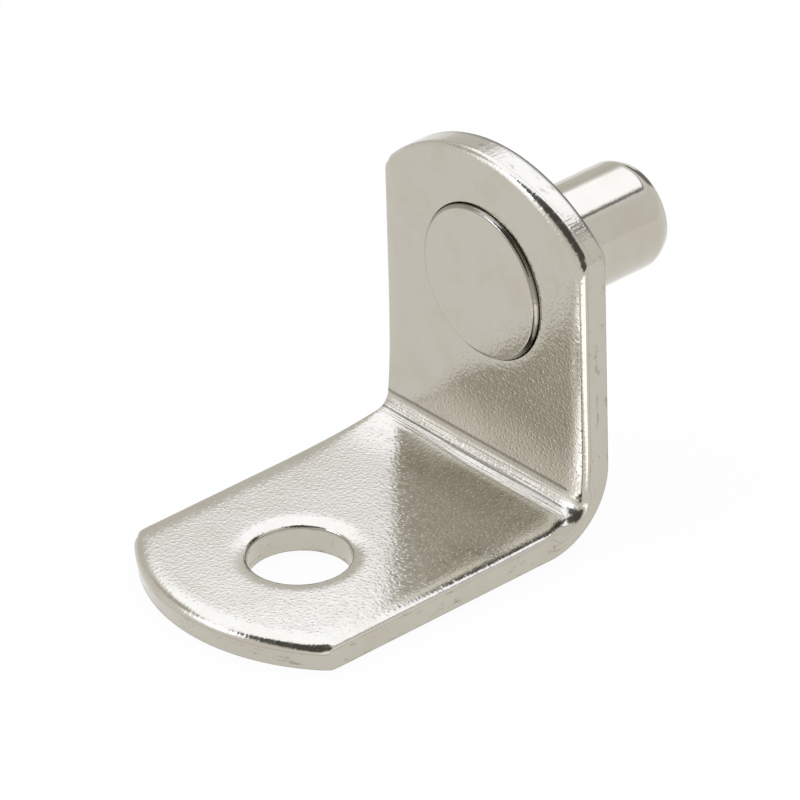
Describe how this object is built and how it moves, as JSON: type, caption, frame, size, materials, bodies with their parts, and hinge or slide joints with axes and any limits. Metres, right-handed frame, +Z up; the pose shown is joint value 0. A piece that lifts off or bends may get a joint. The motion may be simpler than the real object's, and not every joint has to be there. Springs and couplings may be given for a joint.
{
  "type": "shelf support pin",
  "caption": "Folded steel L-shaped shelf support with a riveted round pin for a drilled cabinet side and a screw hole in its leg.",
  "frame": {"origin": "where the pin's axis meets the back face of the upright", "axes": "+Y along the pin into the cabinet side, +Z up along the upright, +X across the strip; x = 0 is the plane of symmetry"},
  "size_m": [0.0126, 0.0261, 0.0166],
  "materials": {
    "bracket": "bright nickel plate on punched steel strip",
    "pin": "bright nickel plate on a smooth steel pin"
  },
  "bodies": {
    "root": {"bracket": "bracket", "pin": "pin"}
  },
  "joints": []
}
